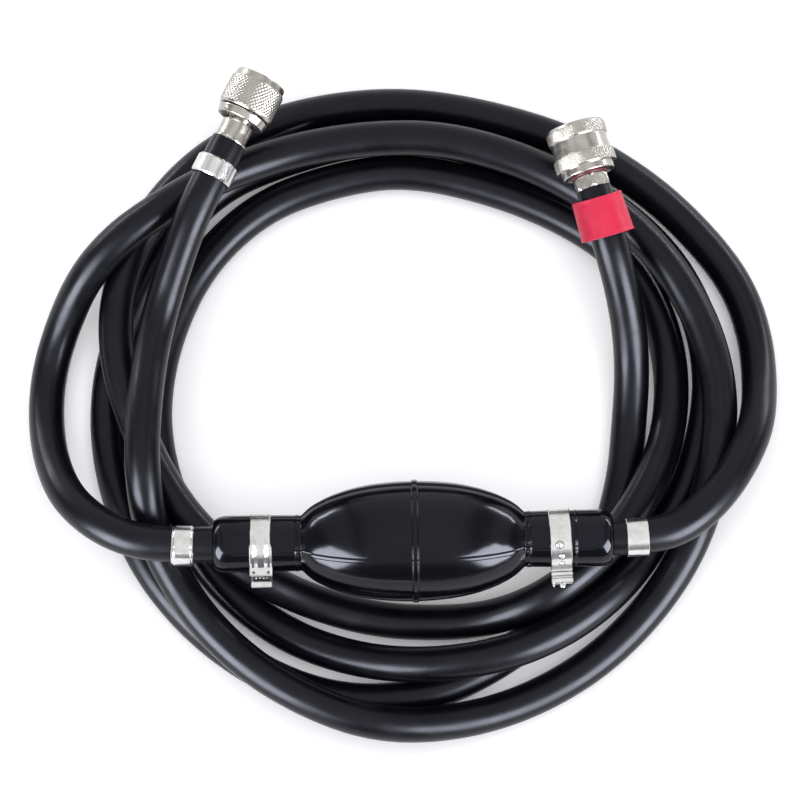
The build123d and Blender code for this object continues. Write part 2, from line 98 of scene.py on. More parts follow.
OUTLET_ROUTE = [
    (0.077, 0, 0), (0.092, 0, 0), (0.106, 0.005, -0.0011), (0.1185, 0.016, -0.0032),
    (0.129, 0.031, -0.0076), (0.136, 0.047, -0.0149), (0.1385, 0.066, -0.0268),
    (0.1375, 0.086, -0.0328), (0.131, 0.106, -0.0328), (0.1163, 0.1262, -0.0328),
    (0.0963, 0.1461, -0.0328), (0.069, 0.164, -0.0328), (0.036, 0.1755, -0.0328),
    (0.002, 0.182, -0.0328), (-0.03, 0.1803, -0.0323), (-0.059, 0.1713, -0.0258),
    (-0.084, 0.1545, -0.0183), (-0.104, 0.131, -0.0183), (-0.115, 0.105, -0.0183),
    (-0.116, 0.079, -0.0183), (-0.109, 0.053, -0.0183), (-0.0995, 0.03, -0.0183),
    (-0.0845, 0.008, -0.0185), (-0.064, -0.0085, -0.0213), (-0.04, -0.0195, -0.0318),
    (-0.014, -0.0269, -0.0328), (0.012, -0.0284, -0.0328), (0.031, -0.027, -0.0288),
    (0.047, -0.0225, -0.0195), (0.0607, -0.0144, -0.0164), (0.073, -0.004, -0.0183),
    (0.0835, 0.008, -0.0189), (0.094, 0.025, -0.0208), (0.1023, 0.0455, -0.0303),
    (0.1045, 0.071, -0.0328), (0.0995, 0.0945, -0.0328), (0.088, 0.1162, -0.0328),
    (0.0658, 0.133, -0.0328), (0.0355, 0.1466, -0.0328), (0, 0.1552, -0.0328),
    (-0.03, 0.151, -0.0328), (-0.059, 0.1405, -0.0328), (-0.083, 0.118, -0.0328),
    (-0.097, 0.089, -0.0328), (-0.1025, 0.06, -0.0328), (-0.0995, 0.034, -0.0328),
    (-0.09, 0.01, -0.0328), (-0.074, -0.0135, -0.0328), (-0.0505, -0.0325, -0.0328),
    (-0.022, -0.043, -0.0298), (0.006, -0.0462, -0.0213), (0.034, -0.043, -0.0173),
    (0.0582, -0.0333, -0.0196), (0.0778, -0.0188, -0.0234), (0.093, -0.0005, -0.0328),
    (0.1075, 0.0215, -0.0328), (0.117, 0.0455, -0.0328), (0.12, 0.072, -0.0328),
    (0.1145, 0.098, -0.0328), (0.1005, 0.1215, -0.0328), (0.077, 0.142, -0.0328),
    (0.046, 0.157, -0.0313), (0.012, 0.167, -0.0285), (-0.02, 0.1671, -0.0285),
    (-0.05, 0.1595, -0.0308), (-0.074, 0.15, -0.0328), (-0.092, 0.133, -0.0328),
    (-0.107, 0.108, -0.0328), (-0.118, 0.08, -0.0328), (-0.121, 0.052, -0.0328),
    (-0.1165, 0.024, -0.0328), (-0.105, -0.004, -0.0328), (-0.0855, -0.0285, -0.0328),
    (-0.06, -0.0475, -0.0328), (-0.031, -0.0585, -0.0328), (0, -0.0585, -0.0328),
    (0.029, -0.0465, -0.0328), (0.055, -0.028, -0.0328), (0.0755, -0.002, -0.0328),
    (0.084, 0.027, -0.0328), (0.0865, 0.049, -0.0322), (0.088, 0.067, -0.0275),
    (0.0873, 0.083, -0.0203), (0.0843, 0.0985, -0.01), (0.0798, 0.114, -0.001),
    (0.0764, 0.1258, 0.0012), (0.0732, 0.1373, 0.0015),
]


# ---- camera and light

CAMERA_PLACE = (-0.00406, -0.18089, 1.33893)
CAMERA_LENS = 157.8
CAMERA_ELEVATION = 80
CAMERA_ROLL = 1

# The surround's brightness from left to right and from the front to the back, at places from -1 to 1.
SIDE_STRIPS = [
    (-1, 0.3), (-0.82, 0.25), (-0.72, 0.8), (-0.5, 0.85), (-0.42, 0.4), (-0.32, 0.85), (0.1, 1.0),
    (0.35, 0.95), (0.5, 0.4), (0.6, 0.5), (0.68, 0.85), (0.82, 0.8), (0.9, 0.25), (1, 0.3),
]
FRONT_TO_BACK = [(-1, 0.2), (-0.88, 0.25), (-0.7, 0.85), (-0.3, 0.95), (0.1, 0.95), (0.5, 0.9), (1, 0.95)]
SURROUND_STRENGTH = 1.3

# Softboxes that only show as gloss on the pieces of GLOSS_TAKERS: name, place, size and radiance.
GLOSS_BOXES = [
    ("left_box", (-0.75, -0.6, 0.47), (0.66, 0.72), 26),
    ("right_box", (0.75, -0.62, 0.49), (0.66, 0.72), 26),
    ("front_box", (-0.4, -1.1, 0.0), (0.9, 0.03), 6),
    ("back_left_box", (-0.8, 0.8, 0.15), (0.6, 0.07), 32),
    ("back_right_box", (0.8, 0.8, 0.15), (0.6, 0.07), 32),
]
GLOSS_TAKERS = "gloss_takers"
BRIGHT_METALS = ("stainless", "nickel", "spring_steel")
LIGHT_AIM = (0, 0.04, -0.01)
LIGHT_COLOR = (0.93, 0.94, 1)

FLOOR_HALF = 4
FLOOR_GLOW = 0.15


def make_camera():
    """A view nearly straight down on the coil, from 1.35 m, rolled by one degree."""
    elevation = math.radians(CAMERA_ELEVATION)
    roll = math.radians(CAMERA_ROLL)
    forward = Vector((0, math.cos(elevation), -math.sin(elevation)))
    level = Vector((1, 0, 0))
    upright = Vector((0, math.sin(elevation), math.cos(elevation)))
    right = level * math.cos(roll) - upright * math.sin(roll)
    up = upright * math.cos(roll) + level * math.sin(roll)
    data = bpy.data.cameras.new("camera")
    data.sensor_width = 36
    data.lens = CAMERA_LENS
    camera = bpy.data.objects.new("camera", data)
    turn = Matrix((right, up, -forward)).transposed().to_4x4()
    camera.matrix_world = Matrix.Translation(CAMERA_PLACE) @ turn
    bpy.context.scene.collection.objects.link(camera)
    bpy.context.scene.camera = camera


def softbox(name, place, size, radiance):
    """A rectangular area light that faces the coil."""
    data = bpy.data.lights.new(name, "AREA")
    data.shape = "RECTANGLE"
    data.size, data.size_y = size
    data.energy = radiance * math.pi * size[0] * size[1]
    data.color = LIGHT_COLOR
    light = bpy.data.objects.new(name, data)
    light.location = place
    light.rotation_euler = (Vector(LIGHT_AIM) - Vector(place)).to_track_quat("-Z", "Y").to_euler()
    bpy.context.scene.collection.objects.link(light)
    return light


def surround_ramp(nodes, links, source, axis, stops):
    """The surround's brightness along one axis, as a colour."""
    across = nodes.new("ShaderNodeVectorMath")
    across.operation = "DOT_PRODUCT"
    across.inputs[1].default_value = axis
    links.new(source, across.inputs[0])
    span = nodes.new("ShaderNodeMapRange")
    span.inputs["From Min"].default_value = -1
    links.new(across.outputs["Value"], span.inputs["Value"])
    ramp = nodes.new("ShaderNodeValToRGB")
    links.new(span.outputs["Result"], ramp.inputs["Fac"])
    elements = ramp.color_ramp.elements
    while len(elements) < len(stops):
        elements.new(0.5)
    for element, (place, level) in zip(elements, stops):
        element.position = (place + 1) / 2
        element.color = (level, level, level, 1)
    return ramp.outputs["Color"]


def make_surround():
    """A pale surround with darker strips, which the bright metals reflect."""
    world = bpy.data.worlds.new("studio")
    bpy.context.scene.world = world
    world.use_nodes = True
    nodes = world.node_tree.nodes
    links = world.node_tree.links
    direction = nodes.new("ShaderNodeTexCoord").outputs["Generated"]
    strips = surround_ramp(nodes, links, direction, (1, 0, 0), SIDE_STRIPS)
    front = surround_ramp(nodes, links, direction, (0, 1, 0), FRONT_TO_BACK)
    both = nodes.new("ShaderNodeVectorMath")
    both.operation = "MULTIPLY"
    links.new(strips, both.inputs[0])
    links.new(front, both.inputs[1])
    links.new(both.outputs["Vector"], nodes["Background"].inputs["Color"])
    nodes["Background"].inputs["Strength"].default_value = SURROUND_STRENGTH


def make_lights():
    """Softboxes for the gloss of the rubber, and a large light over the floor that makes no gloss."""
    bpy.context.scene.view_settings.view_transform = "Standard"
    takers = bpy.data.collections.new(GLOSS_TAKERS)
    for row in GLOSS_BOXES:
        light = softbox(*row)
        light.visible_diffuse = False
        light.light_linking.receiver_collection = takers
    top = softbox("top_box", (0, -0.1, 1.5), (1.8, 1.8), 1.4)
    top.visible_glossy = False


def gather_gloss_takers():
    """Puts each piece that isn't bright metal among those that the softboxes light."""
    for thing in bpy.context.scene.objects:
        if thing.type not in ("MESH", "CURVE") or not thing.data.materials:
            continue
        if thing.data.materials[0].name not in BRIGHT_METALS:
            bpy.data.collections[GLOSS_TAKERS].objects.link(thing)


def make_floor():
    """A large pale floor under the hoses."""
    half = FLOOR_HALF
    corners = [(-half, -half, FLOOR_Z), (half, -half, FLOOR_Z), (half, half, FLOOR_Z), (-half, half, FLOOR_Z)]
    mesh = bpy.data.meshes.new("floor")
    mesh.from_pydata(corners, [], [(0, 1, 2, 3)])
    floor = bpy.data.objects.new("floor", mesh)
    bpy.context.scene.collection.objects.link(floor)
    paint = bpy.data.materials.new("floor")
    paint.use_nodes = True
    shader = paint.node_tree.nodes["Principled BSDF"]
    shader.inputs["Base Color"].default_value = (0.95, 0.95, 0.955, 1)
    shader.inputs["Roughness"].default_value = 0.9
    shader.inputs["Emission Color"].default_value = (1, 1, 1, 1)
    shader.inputs["Emission Strength"].default_value = FLOOR_GLOW
    mesh.materials.append(paint)


# ---- materials

# A cool tint on the gloss of everything that isn't metal.
GLOSS_TINT = (0.88, 0.9, 1, 1)


class Paint:
    """A node material: a Principled shader with noise on its colour, roughness and bump."""

    def __init__(self, name, color, roughness, metallic=0.0, specular=0.5):
        self.material = bpy.data.materials.new(name)
        self.material.use_nodes = True
        self.tree = self.material.node_tree
        self.shader = self.tree.nodes["Principled BSDF"]
        self.shader.inputs["Base Color"].default_value = (*color, 1)
        self.shader.inputs["Roughness"].default_value = roughness
        self.shader.inputs["Metallic"].default_value = metallic
        self.shader.inputs["Specular IOR Level"].default_value = specular
        if not metallic:
            self.shader.inputs["Specular Tint"].default_value = GLOSS_TINT
        self.bump = None

    def coordinates(self, scale):
        """Object coordinates, scaled along each axis."""
        place = self.tree.nodes.new("ShaderNodeTexCoord")
        mapping = self.tree.nodes.new("ShaderNodeMapping")
        mapping.inputs["Scale"].default_value = scale
        self.tree.links.new(place.outputs["Object"], mapping.inputs["Vector"])
        return mapping.outputs["Vector"]

    def noise(self, scale, detail=3.0, stretch=(1, 1, 1), rough=0.55):
        """Fine noise in object space; a smaller stretch draws it out along that axis."""
        texture = self.tree.nodes.new("ShaderNodeTexNoise")
        texture.inputs["Scale"].default_value = scale
        texture.inputs["Detail"].default_value = detail
        texture.inputs["Roughness"].default_value = rough
        self.tree.links.new(self.coordinates(stretch), texture.inputs["Vector"])
        return texture.outputs["Fac"]

    def ramp(self, source, stops):
        """A colour ramp from (position, grey or colour) stops."""
        node = self.tree.nodes.new("ShaderNodeValToRGB")
        elements = node.color_ramp.elements
        while len(elements) < len(stops):
            elements.new(0.5)
        for element, (position, value) in zip(elements, stops):
            element.position = position
            color = value if isinstance(value, tuple) else (value, value, value)
            element.color = (*color, 1)
        self.tree.links.new(source, node.inputs["Fac"])
        return node.outputs["Color"]

    def vary(self, socket, source, stops):
        """Drives one of the shader's sockets by a ramp."""
        self.tree.links.new(self.ramp(source, stops), self.shader.inputs[socket])

    def raise_by(self, source, strength, distance):
        """Adds a bump, on top of those that are there."""
        node = self.tree.nodes.new("ShaderNodeBump")
        node.inputs["Strength"].default_value = strength
        node.inputs["Distance"].default_value = distance
        self.tree.links.new(source, node.inputs["Height"])
        if self.bump:
            self.tree.links.new(self.bump.outputs["Normal"], node.inputs["Normal"])
        self.tree.links.new(node.outputs["Normal"], self.shader.inputs["Normal"])
        self.bump = node


def hose_rubber():
    """Extruded black rubber: satin, with rub marks, a little dust and a fine skin."""
    paint = Paint("hose_rubber", (0.002, 0.0021, 0.004), 0.31, specular=0.22)
    paint.vary("Base Color", paint.noise(60, 5), [
        (0.35, (0.0014, 0.0015, 0.003)), (0.62, (0.0024, 0.0025, 0.0046)), (0.8, (0.005, 0.0052, 0.0082))])
    paint.vary("Roughness", paint.noise(90, 6, rough=0.65), [(0.3, 0.27), (0.55, 0.33), (0.75, 0.42)])
    paint.raise_by(paint.noise(1400, 3), 0.12, 0.00004)
    paint.raise_by(paint.noise(150, 2), 0.12, 0.0002)
    return paint.material


def bulb_rubber():
    """Moulded black rubber: glossy, with faint flow marks."""
    paint = Paint("bulb_rubber", (0.0016, 0.0017, 0.0035), 0.14, specular=0.22)
    paint.vary("Base Color", paint.noise(45, 4), [
        (0.35, (0.0011, 0.0012, 0.0026)), (0.7, (0.0022, 0.0023, 0.0048))])
    paint.vary("Roughness", paint.noise(70, 5, rough=0.6), [(0.3, 0.11), (0.55, 0.15), (0.78, 0.23)])
    paint.raise_by(paint.noise(900, 3), 0.08, 0.00004)
    paint.raise_by(paint.noise(55, 2), 0.18, 0.0006)
    return paint.material


def stainless():
    """Rolled stainless strip: bright, with fine grain and handling marks."""
    paint = Paint("stainless", (0.62, 0.61, 0.6), 0.24, 1.0)
    paint.vary("Base Color", paint.noise(260, 4), [
        (0.3, (0.54, 0.532, 0.525)), (0.6, (0.62, 0.612, 0.602)), (0.8, (0.68, 0.67, 0.66))])
    paint.vary("Roughness", paint.noise(500, 5, (4, 0.5, 0.5)), [(0.3, 0.16), (0.6, 0.23), (0.8, 0.32)])
    paint.raise_by(paint.noise(2200, 2, (5, 0.4, 0.4)), 0.1, 0.00003)
    return paint.material


def nickel():
    """Warm nickel plate over turned brass."""
    paint = Paint("nickel", (0.41, 0.39, 0.36), 0.28, 1.0)
    paint.vary("Base Color", paint.noise(200, 4), [
        (0.3, (0.36, 0.34, 0.31)), (0.6, (0.41, 0.39, 0.36)), (0.8, (0.46, 0.44, 0.41))])
    paint.vary("Roughness", paint.noise(420, 5), [(0.3, 0.2), (0.6, 0.28), (0.8, 0.36)])
    paint.raise_by(paint.noise(1800, 3), 0.08, 0.00003)
    return paint.material


def two_tone(name, color, roughness, metallic, grain, shades, wear, gloss):
    """A finish whose colour and roughness each run between two values."""
    paint = Paint(name, color, roughness, metallic)
    paint.vary("Base Color", paint.noise(grain, 3), [(0.3, shades[0]), (0.75, shades[1])])
    paint.vary("Roughness", paint.noise(wear, 4), [(0.3, gloss[0]), (0.7, gloss[1])])
    return paint


def turned_brass():
    """Unplated brass of the inner valve pieces."""
    shades = ((0.6, 0.43, 0.19), (0.74, 0.56, 0.3))
    return two_tone("turned_brass", (0.68, 0.5, 0.24), 0.28, 1.0, 300, shades, 600, (0.2, 0.36)).material


def spring_steel():
    """Drawn wire, ground balls and the snap ring."""
    shades = ((0.4, 0.4, 0.41), (0.56, 0.56, 0.57))
    return two_tone("spring_steel", (0.48, 0.48, 0.49), 0.25, 1.0, 500, shades, 700, (0.18, 0.36)).material


def valve_plastic():
    """Moulded dark acetal."""
    shades = ((0.038, 0.038, 0.043), (0.055, 0.055, 0.06))
    paint = two_tone("valve_plastic", (0.045, 0.045, 0.05), 0.42, 0.0, 250, shades, 500, (0.36, 0.5))
    paint.raise_by(paint.noise(2500, 2), 0.1, 0.00003)
    return paint.material


def seal_rubber():
    """Matt nitrile of the seats and washers."""
    shades = ((0.016, 0.016, 0.017), (0.027, 0.027, 0.028))
    paint = two_tone("seal_rubber", (0.02, 0.02, 0.021), 0.6, 0.0, 300, shades, 600, (0.5, 0.68))
    paint.raise_by(paint.noise(2500, 2), 0.12, 0.00004)
    return paint.material


def red_rubber():
    """Pink-red soft elastomer."""
    paint = Paint("red_rubber", (0.68, 0.021, 0.066), 0.42, specular=0.22)
    paint.vary("Base Color", paint.noise(120, 4), [
        (0.3, (0.64, 0.018, 0.058)), (0.6, (0.69, 0.022, 0.068)), (0.8, (0.72, 0.036, 0.088))])
    paint.vary("Roughness", paint.noise(260, 4), [(0.3, 0.34), (0.7, 0.5)])
    paint.raise_by(paint.noise(1200, 3), 0.12, 0.00005)
    paint.raise_by(paint.noise(110, 2), 0.2, 0.0003)
    return paint.material


def red_ring():
    """The dark red O-ring."""
    paint = Paint("red_ring", (0.16, 0.008, 0.02), 0.4)
    paint.vary("Base Color", paint.noise(400, 3), [(0.3, (0.12, 0.006, 0.015)), (0.75, (0.2, 0.012, 0.025))])
    paint.vary("Roughness", paint.noise(600, 3), [(0.3, 0.32), (0.7, 0.5)])
    return paint.material


# ---- mesh helpers

# The most of a side that a rounded corner may take.
OUTLINE_SHARE = 0.4
PATH_SHARE = 0.45
# How deep a knurl's grooves are, and where its diamonds are cut flat.
KNURL_DEPTH = 0.2
KNURL_TOP = 0.72
# How far the free end of a strap stands off, and over how many degrees.
FREE_END_LIFT = 0.45
FREE_END_TURN = 7
Z_TO_X = Matrix.Rotation(math.radians(90), 4, "Y")


def finish_piece(name, points, faces, material, body=PUMP, crease=35):
    """Makes an object from points in millimetres, smooth apart from edges sharper than crease degrees."""
    mesh = bpy.data.meshes.new(name)
    mesh.from_pydata((np.asarray(points) * MM).tolist(), [], faces)
    mesh.validate()
    mesh.shade_smooth()
    mesh.set_sharp_from_angle(angle=math.radians(crease))
    mesh.materials.append(material)
    piece = bpy.data.objects.new(name, mesh)
    bpy.context.scene.collection.objects.link(piece)
    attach(piece, body)
    return piece


def placed(points, place):
    """Points of a piece's own space, moved to place."""
    points = np.asarray(points)
    points = np.concatenate([points, np.ones((len(points), 1))], axis=1)
    return (points @ np.array(place).T)[:, :3]


def grid_faces(rows, columns, close_rows=True):
    """Quads of a grid whose points are numbered row by row, and whose rows are rings."""
    faces = []
    for i in range(rows if close_rows else rows - 1):
        for j in range(columns):
            k = (i + 1) % rows
            m = (j + 1) % columns
            faces.append((i * columns + j, i * columns + m, k * columns + m, k * columns + j))
    return faces


def rounded_corner(before, here, after, radius, share, steps):
    """A corner rounded by radius, or by a share of its sides where they are short."""
    here = Vector(here)
    back = Vector(before) - here
    ahead = Vector(after) - here
    cut = min(radius, share * back.length, share * ahead.length)
    start = here + back.normalized() * cut
    end = here + ahead.normalized() * cut
    made = []
    for step in range(steps + 1):
        t = step / steps
        made.append(tuple(start * (1 - t) ** 2 + here * 2 * t * (1 - t) + end * t ** 2))
    return made


def soften(outline, radius, steps=3):
    """A closed outline with its corners rounded."""
    made = []
    for i, here in enumerate(outline):
        after = outline[(i + 1) % len(outline)]
        made += rounded_corner(outline[i - 1], here, after, radius, OUTLINE_SHARE, steps)
    return made


def rounded_path(corners, radius, step=0.25):
    """An open path along straight lines with rounded corners, with points about a step apart."""
    dense = [corners[0]]
    for before, here, after in zip(corners, corners[1:], corners[2:]):
        dense += rounded_corner(before, here, after, radius, PATH_SHARE, 6)
    dense.append(corners[-1])
    made = [dense[0]]
    for a, b in zip(dense, dense[1:]):
        pieces = max(1, round(math.dist(a, b) / step))
        for i in range(1, pieces + 1):
            t = i / pieces
            made.append((a[0] + t * (b[0] - a[0]), a[1] + t * (b[1] - a[1])))
    return made


def split_long(outline, longest):
    """A closed outline whose sides are cut so that none is longer than longest."""
    made = []
    for i, here in enumerate(outline):
        there = outline[(i + 1) % len(outline)]
        pieces = max(1, math.ceil(math.dist(here, there) / longest))
        for step in range(pieces):
            t = step / pieces
            made.append((here[0] + t * (there[0] - here[0]), here[1] + t * (there[1] - here[1])))
    return made


def arc(radius, start, end, step, grow=0.0):
    """Points on an arc between two angles in degrees, whose radius grows by grow on the way."""
    count = max(2, int(abs(end - start) / step) + 1)
    made = []
    for i in range(count):
        t = i / (count - 1)
        angle = math.radians(start + (end - start) * t)
        here = radius + grow * t
        made.append((here * math.cos(angle), here * math.sin(angle)))
    return made


def lifted_arc(radius, start, end, step):
    """An arc whose first few degrees stand off, as the free end of a strap does."""
    made = []
    count = int((start - end) / step) + 1
    for i in range(count):
        angle = start + (end - start) * i / (count - 1)
        here = radius + FREE_END_LIFT * max(0, (angle - start + FREE_END_TURN) / FREE_END_TURN) ** 2
        made.append((here * math.cos(math.radians(angle)), here * math.sin(math.radians(angle))))
    return made


def smooth_step(value):
    """Zero below 0, one above 1, and a smooth rise between."""
    t = np.clip(value, 0, 1)
    return t * t * (3 - 2 * t)


def signed_area(outline):
    """Area inside an outline, negative where it runs clockwise."""
    x = outline[:, 0]
    y = outline[:, 1]
    return float(np.sum(x * np.roll(y, -1) - y * np.roll(x, -1))) / 2


def lathe(name, outline, place, material, body=PUMP, around=128, relief=None, crease=35):
    """Turns a closed outline of (radius, height) about the Z of place.

    relief(radius, height, turn) adds to the radius.
    """
    angles = np.linspace(0, 2 * math.pi, around, endpoint=False)
    outline = np.array(outline)
    radius = np.repeat(outline[:, :1], around, axis=1)
    height = np.repeat(outline[:, 1:], around, axis=1)
    turn = np.repeat(angles[None, :], len(outline), axis=0)
    if relief:
        radius = radius + relief(radius, height, turn)
    points = np.stack([radius * np.cos(turn), radius * np.sin(turn), height], axis=-1)
    faces = grid_faces(len(outline), around)
    if signed_area(outline) < 0:
        faces = [face[::-1] for face in faces]
    return finish_piece(name, placed(points.reshape(-1, 3), place), faces, material, body, crease)


def triangle_wave(value):
    """A wave from 0 to 1 and back over each whole number."""
    return 1 - 2 * np.abs(value - np.floor(value) - 0.5)


def diamond_knurl(low, high, least_radius, count, pitch):
    """Relief of a diamond knurl between two heights, on the surfaces outside a radius."""
    def relief(radius, height, turn):
        a = count * turn / (2 * math.pi) + height / pitch
        b = count * turn / (2 * math.pi) - height / pitch
        peak = np.minimum(np.minimum(triangle_wave(a), triangle_wave(b)), KNURL_TOP) / KNURL_TOP
        edge = np.clip(np.minimum(height - low, high - height) / (0.3 * pitch), 0, 1)
        return np.where(radius > least_radius, KNURL_DEPTH * edge * (peak - 1), 0)
    return relief


def strap_ends(rows, columns, across):
    """Faces that close a strap's ends, whose section has two rows of across points and two tips."""
    faces = []
    for row, flip in ((0, True), (rows - 1, False)):
        base = row * columns
        made = []
        for j in range(across - 1):
            other = columns - 2 - j
            made.append((base + j, base + j + 1, base + other - 1, base + other))
        made.append((base + across - 1, base + across, base + across + 1))
        made.append((base + columns - 2, base + columns - 1, base))
        faces += [face[::-1] for face in made] if flip else made
    return faces


def strap(name, path, width, thickness, place, material, across, relief=None):
    """A stainless strip that follows a path in the XY plane of place, with its width along Z.

    relief(s, x) lifts the strip outward, where s is the distance along the path and x the place across it.
    width is a number or a function of s, and across is the number of points from edge to edge.
    """
    path = np.array(path, float)
    step = np.linalg.norm(np.diff(path, axis=0), axis=1)
    run = np.concatenate([[0], np.cumsum(step)])
    tangent = np.gradient(path, run, axis=0)
    tangent /= np.linalg.norm(tangent, axis=1)[:, None]
    normal = np.stack([tangent[:, 1], -tangent[:, 0]], axis=1)
    half = thickness / 2
    points = []
    for i in range(len(path)):
        wide = width(run[i]) if callable(width) else width
        offsets = np.linspace(-wide / 2 + half, wide / 2 - half, across)
        section = [(x, half) for x in offsets] + [(wide / 2, 0)]
        section += [(x, -half) for x in offsets[::-1]] + [(-wide / 2, 0)]
        for x, lift in section:
            out = lift + (relief(run[i], x) if relief else 0)
            where = path[i] + normal[i] * out
            points.append((where[0], where[1], x))
    columns = 2 * across + 2
    faces = grid_faces(len(path), columns, close_rows=False) + strap_ends(len(path), columns, across)
    return finish_piece(name, placed(points, place), faces, material, crease=40)


def bar(name, outline, centre, length, place, material):
    """A short bar with a closed section in XY and its length along Z, with its ends drawn in a little."""
    outline = np.array(outline)
    end = length / 2
    rows = []
    for z, scale in ((-end, 0.8), (-end + 0.15, 1), (end - 0.15, 1), (end, 0.8)):
        for x, y in outline * scale:
            rows.append((centre[0] + x, centre[1] + y, centre[2] + z))
    count = len(outline)
    faces = grid_faces(4, count, close_rows=False)
    faces += [tuple(range(count))[::-1], tuple(range(3 * count, 4 * count))]
    faces = [face[::-1] for face in faces]
    return finish_piece(name, placed(rows, place), faces, material)


def axis_place(origin, direction):
    """A matrix in millimetres whose Z runs along direction, with X level."""
    z = Vector(direction).normalized()
    x = Vector((0, 0, 1)).cross(z).normalized()
    y = z.cross(x)
    turn = Matrix((x, y, z)).transposed().to_4x4()
    return Matrix.Translation(origin) @ turn


# ---- hoses

def make_hose(name, route, material):
    """A round hose along a smooth curve with the route's points as control points."""
    data = bpy.data.curves.new(name, "CURVE")
    data.dimensions = "3D"
    spline = data.splines.new("NURBS")
    spline.points.add(len(route) - 1)
    for point, place in zip(spline.points, route):
        point.co = (*place, 1)
    spline.order_u = 3
    spline.use_endpoint_u = True
    spline.resolution_u = 10
    data.bevel_depth = HOSE_D / 2
    data.bevel_resolution = 10
    data.use_fill_caps = True
    data.materials.append(material)
    hose = bpy.data.objects.new(name, data)
    bpy.context.scene.collection.objects.link(hose)
    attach(hose, PUMP)
    return hose


# ---- bulb

# Radius at distances from the bulb's middle: the bulb itself, then its collars, in millimetres.
BULB_OUTLINE = [(0, 23.2), (9, 22.85), (18, 21.8), (26.8, 19.7), (34, 16.9), (39.5, 13.7), (43.0, 10.6)]
COLLAR_OUTLINE = [(43.6, 10.7), (46.5, 10.8), (52, 10.9), (60, 10.95), (71.0, 11.0)]
COLLAR_END = 76.5
SHOULDER_START = 71.3
SHOULDER_FALL = 2.6
GIRTH_X = 0.8
GIRTH_WIDTH = 1.9
GIRTH_HEIGHT = 0.5
NECK_BEAD_X = 44.6
COLLAR_BEAD_X = 62.5
BEAD_HEIGHT = 0.22
RIB_ANGLES = [27.7, 117.7, 207.7, 297.7]
RIB_HEIGHT = 0.62
PIP_X = 44.4
PIP_ANGLES = [68, 102, 126, 163]
PIP_HEIGHT = 0.4
NECK_RADIUS = 10.8
# The hollow: the wall, the bore of the necks, and how much wider the pocket for each valve is.
WALL = 3
CAVITY_END = 44
NECK_BORE = 6.5
POCKET_STEP = 1.5
POCKET_START = 46.6


def hermite(knots, x):
    """A smooth curve through (x, y) knots, with slopes from their neighbours."""
    xs = np.array([k[0] for k in knots], float)
    ys = np.array([k[1] for k in knots], float)
    slopes = np.gradient(ys, xs)
    slopes[0] = 0
    i = np.clip(np.searchsorted(xs, x) - 1, 0, len(xs) - 2)
    h = xs[i + 1] - xs[i]
    t = np.clip((x - xs[i]) / h, 0, 1)
    a = 2 * t ** 3 - 3 * t ** 2 + 1
    b = t ** 3 - 2 * t ** 2 + t
    c = 3 * t ** 2 - 2 * t ** 3
    d = t ** 3 - t ** 2
    return a * ys[i] + b * h * slopes[i] + c * ys[i + 1] + d * h * slopes[i + 1]


def bulb_radius(x):
    """Radius of the bulb's outside at x, without ribs."""
    ax = np.abs(x)
    dome = hermite(BULB_OUTLINE, ax)
    collar = np.interp(ax, [k[0] for k in COLLAR_OUTLINE], [k[1] for k in COLLAR_OUTLINE])
    fall = np.clip((ax - SHOULDER_START) / (COLLAR_END - SHOULDER_START), 0, 1)
    collar = collar - SHOULDER_FALL * (1 - np.sqrt(1 - (0.98 * fall) ** 2))
    return np.where(ax < BULB_OUTLINE[-1][0], dome, collar)


def outer_radius(x, turn):
    """Radius of the bulb's outside with its girth rib, beads, long ribs and pips."""
    radius = bulb_radius(x)
    ax = np.abs(x)
    girth = smooth_step((GIRTH_WIDTH / 2 + 0.35 - np.abs(x - GIRTH_X)) / 0.5)
    radius += GIRTH_HEIGHT * girth
    radius += BEAD_HEIGHT * np.exp(-((ax - NECK_BEAD_X) / 0.55) ** 2)
    radius += BEAD_HEIGHT * np.exp(-((x - COLLAR_BEAD_X) / 0.3) ** 2)
    rib_height = RIB_HEIGHT * (1 - 0.72 * smooth_step((ax - 40) / 6)) * smooth_step((71.5 - ax) / 3)
    for rib in RIB_ANGLES:
        away = (turn - math.radians(rib) + math.pi) % (2 * math.pi) - math.pi
        across = away * np.maximum(bulb_radius(x), 10)
        radius += rib_height * smooth_step((1.0 - np.abs(across)) / 0.55)
    for pip in PIP_ANGLES:
        away = np.hypot(x - PIP_X, NECK_RADIUS * (turn - math.radians(pip)))
        radius += PIP_HEIGHT * smooth_step((0.75 - away) / 0.5)
    return radius


def inner_radius(x):
    """Radius of the bulb's hollow, its necks and the pockets for the valves."""
    ax = np.abs(x)
    cavity = np.maximum(bulb_radius(x) - WALL, NECK_BORE)
    bore = NECK_BORE + POCKET_STEP * smooth_step((ax - POCKET_START) / 0.5)
    return np.where(ax < CAVITY_END, cavity, bore)


def bulb_stations():
    """Places along the bulb, close together where its outline turns quickly."""
    girth = [GIRTH_X + d for d in np.linspace(-2.0, 2.0, 25)]
    coarse = list(np.linspace(-COLLAR_END, COLLAR_END, 160))
    necks = [s * v for s in (-1, 1) for v in np.linspace(42.2, 46.2, 21)]
    shoulders = [s * v for s in (-1, 1) for v in np.linspace(71.2, COLLAR_END, 24)]
    bead = list(np.linspace(61.6, 63.4, 13))
    return np.array(sorted({round(float(v), 3) for v in girth + coarse + necks + shoulders + bead}))


def bulb_angles():
    """Angles round the bulb in radians, close together at the long ribs and the pips."""
    angles = set(np.round(np.arange(0, 360, 3.0), 3))
    for rib in RIB_ANGLES:
        angles |= set(np.round(rib + np.linspace(-4.5, 4.5, 31), 3))
    for pip in PIP_ANGLES:
        angles |= set(np.round(pip + np.linspace(-4.4, 4.4, 13), 3))
    return np.radians(np.array(sorted(angles)))


